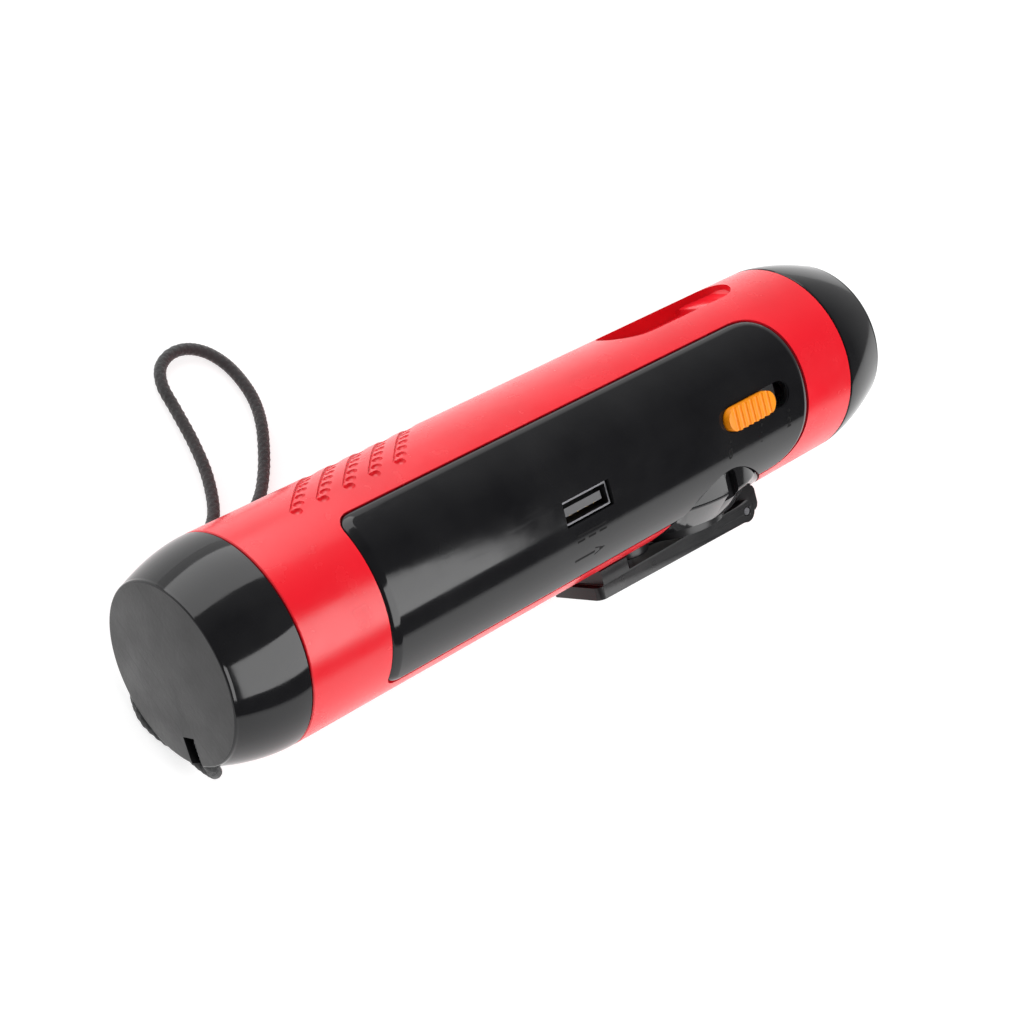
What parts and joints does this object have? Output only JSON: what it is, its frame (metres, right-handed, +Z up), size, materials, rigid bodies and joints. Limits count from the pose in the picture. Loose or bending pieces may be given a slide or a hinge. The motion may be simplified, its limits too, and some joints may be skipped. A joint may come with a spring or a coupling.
{
  "type": "hand-crank flashlight",
  "caption": "Barrel-shaped hand-crank torch with a folding crank, a slide switch, a USB port, a thumb recess and a wrist cord",
  "frame": {"origin": "on the floor under the middle of the torch's box, without its cord", "axes": "X runs along the barrel from the tail face to the lens, Z is up. The torch lies on its barrel and on the edge of its folded crank, so its crank faces -Y and down and its switch panel faces -Y and up."},
  "size_m": [0.1978, 0.1005, 0.0465],
  "materials": {
    "red_shell": "glossy moulded plastic",
    "black_gloss": "glossy moulded plastic with fine wear",
    "black_satin": "satin moulded plastic",
    "orange_knob": "satin moulded plastic",
    "white_plastic": "natural nylon",
    "white_board": "white solder mask",
    "green_board": "green solder mask",
    "led_yellow": "phosphor under clear silicone",
    "steel": "bright steel",
    "spring_steel": "bright spring wire",
    "brass_contact": "bare brass",
    "raw_aluminium": "bare machined aluminium",
    "cell_wrap": "cell in a blue shrink wrap",
    "mirror_bowl": "vacuum-metallised mirror",
    "clear_lens": "clear window",
    "seal_rubber": "matt rubber",
    "cord": "braided polyester"
  },
  "bodies": {
    "torch": {"shell": "red_shell", "tail_cap": "black_gloss", "lanyard_bar": "steel", "lanyard": "cord", "lanyard_bead": "black_satin", "head_bezel": "black_gloss", "lens": "clear_lens", "lens_seal": "seal_rubber", "reflector": "mirror_bowl", "led_board": "white_board", "led_emitter": "led_yellow", "heat_sink": "raw_aluminium", "side_panel": "black_gloss", "switch_body": "steel", "usb_shell": "steel", "usb_tongue": "white_plastic", "usb_board": "green_board", "circuit_board": "green_board", "battery": "cell_wrap", "battery_spring": "spring_steel", "battery_contact": "brass_contact", "spring_plate": "brass_contact", "crank_seat": "black_gloss", "gear_plate": "black_satin", "motor_can": "steel"},
    "crank_hub_body": {"crank_hub": "black_gloss", "hub_shaft": "steel", "crank_gear": "white_plastic"},
    "crank_arm_body": {"crank_arm": "black_gloss", "hinge_pin": "steel", "knob_pin": "steel"},
    "finger_disc_body": {"crank_knob": "black_gloss"},
    "lay_body": {"lay_shaft": "steel", "lay_pinion": "brass_contact", "lay_gear": "white_plastic"},
    "motor_body": {"motor_shaft": "steel", "motor_pinion": "brass_contact"},
    "switch_body_moving": {"switch_knob": "orange_knob"}
  },
  "joints": [
    {"name": "crank_spin", "type": "hinge", "parent": "torch", "child": "crank_hub_body", "pos_m": [0.03805, -0.0153, 0.01086], "axis": [0, -0.8341, -0.5516], "continuous": true},
    {"name": "arm_fold", "type": "hinge", "parent": "crank_hub_body", "child": "crank_arm_body", "pos_m": [0.05305, -0.01947, 0.00811], "axis": [0, -0.5516, 0.8341], "range_deg": [0, 180]},
    {"name": "finger_disc_spin", "type": "hinge", "parent": "crank_arm_body", "child": "finger_disc_body", "pos_m": [0.02005, -0.01655, 0.01004], "axis": [0, -0.8341, -0.5516], "continuous": true},
    {"name": "lay_spin", "type": "hinge", "parent": "torch", "child": "lay_body", "pos_m": [0.02125, -0.00863, 0.01528], "axis": [0, -0.8341, -0.5516], "continuous": true},
    {"name": "motor_spin", "type": "hinge", "parent": "torch", "child": "motor_body", "pos_m": [0.00625, -0.00279, 0.01007], "axis": [0, -0.8341, -0.5516], "continuous": true},
    {"name": "switch_slide", "type": "slide", "parent": "torch", "child": "switch_body_moving", "axis": [1, 0, 0], "range_m": [0, 0.006]}
  ],
  "couplings": [
    {"joint": "lay_spin", "follows": "crank_spin", "ratio": -3},
    {"joint": "motor_spin", "follows": "crank_spin", "ratio": 9}
  ]
}
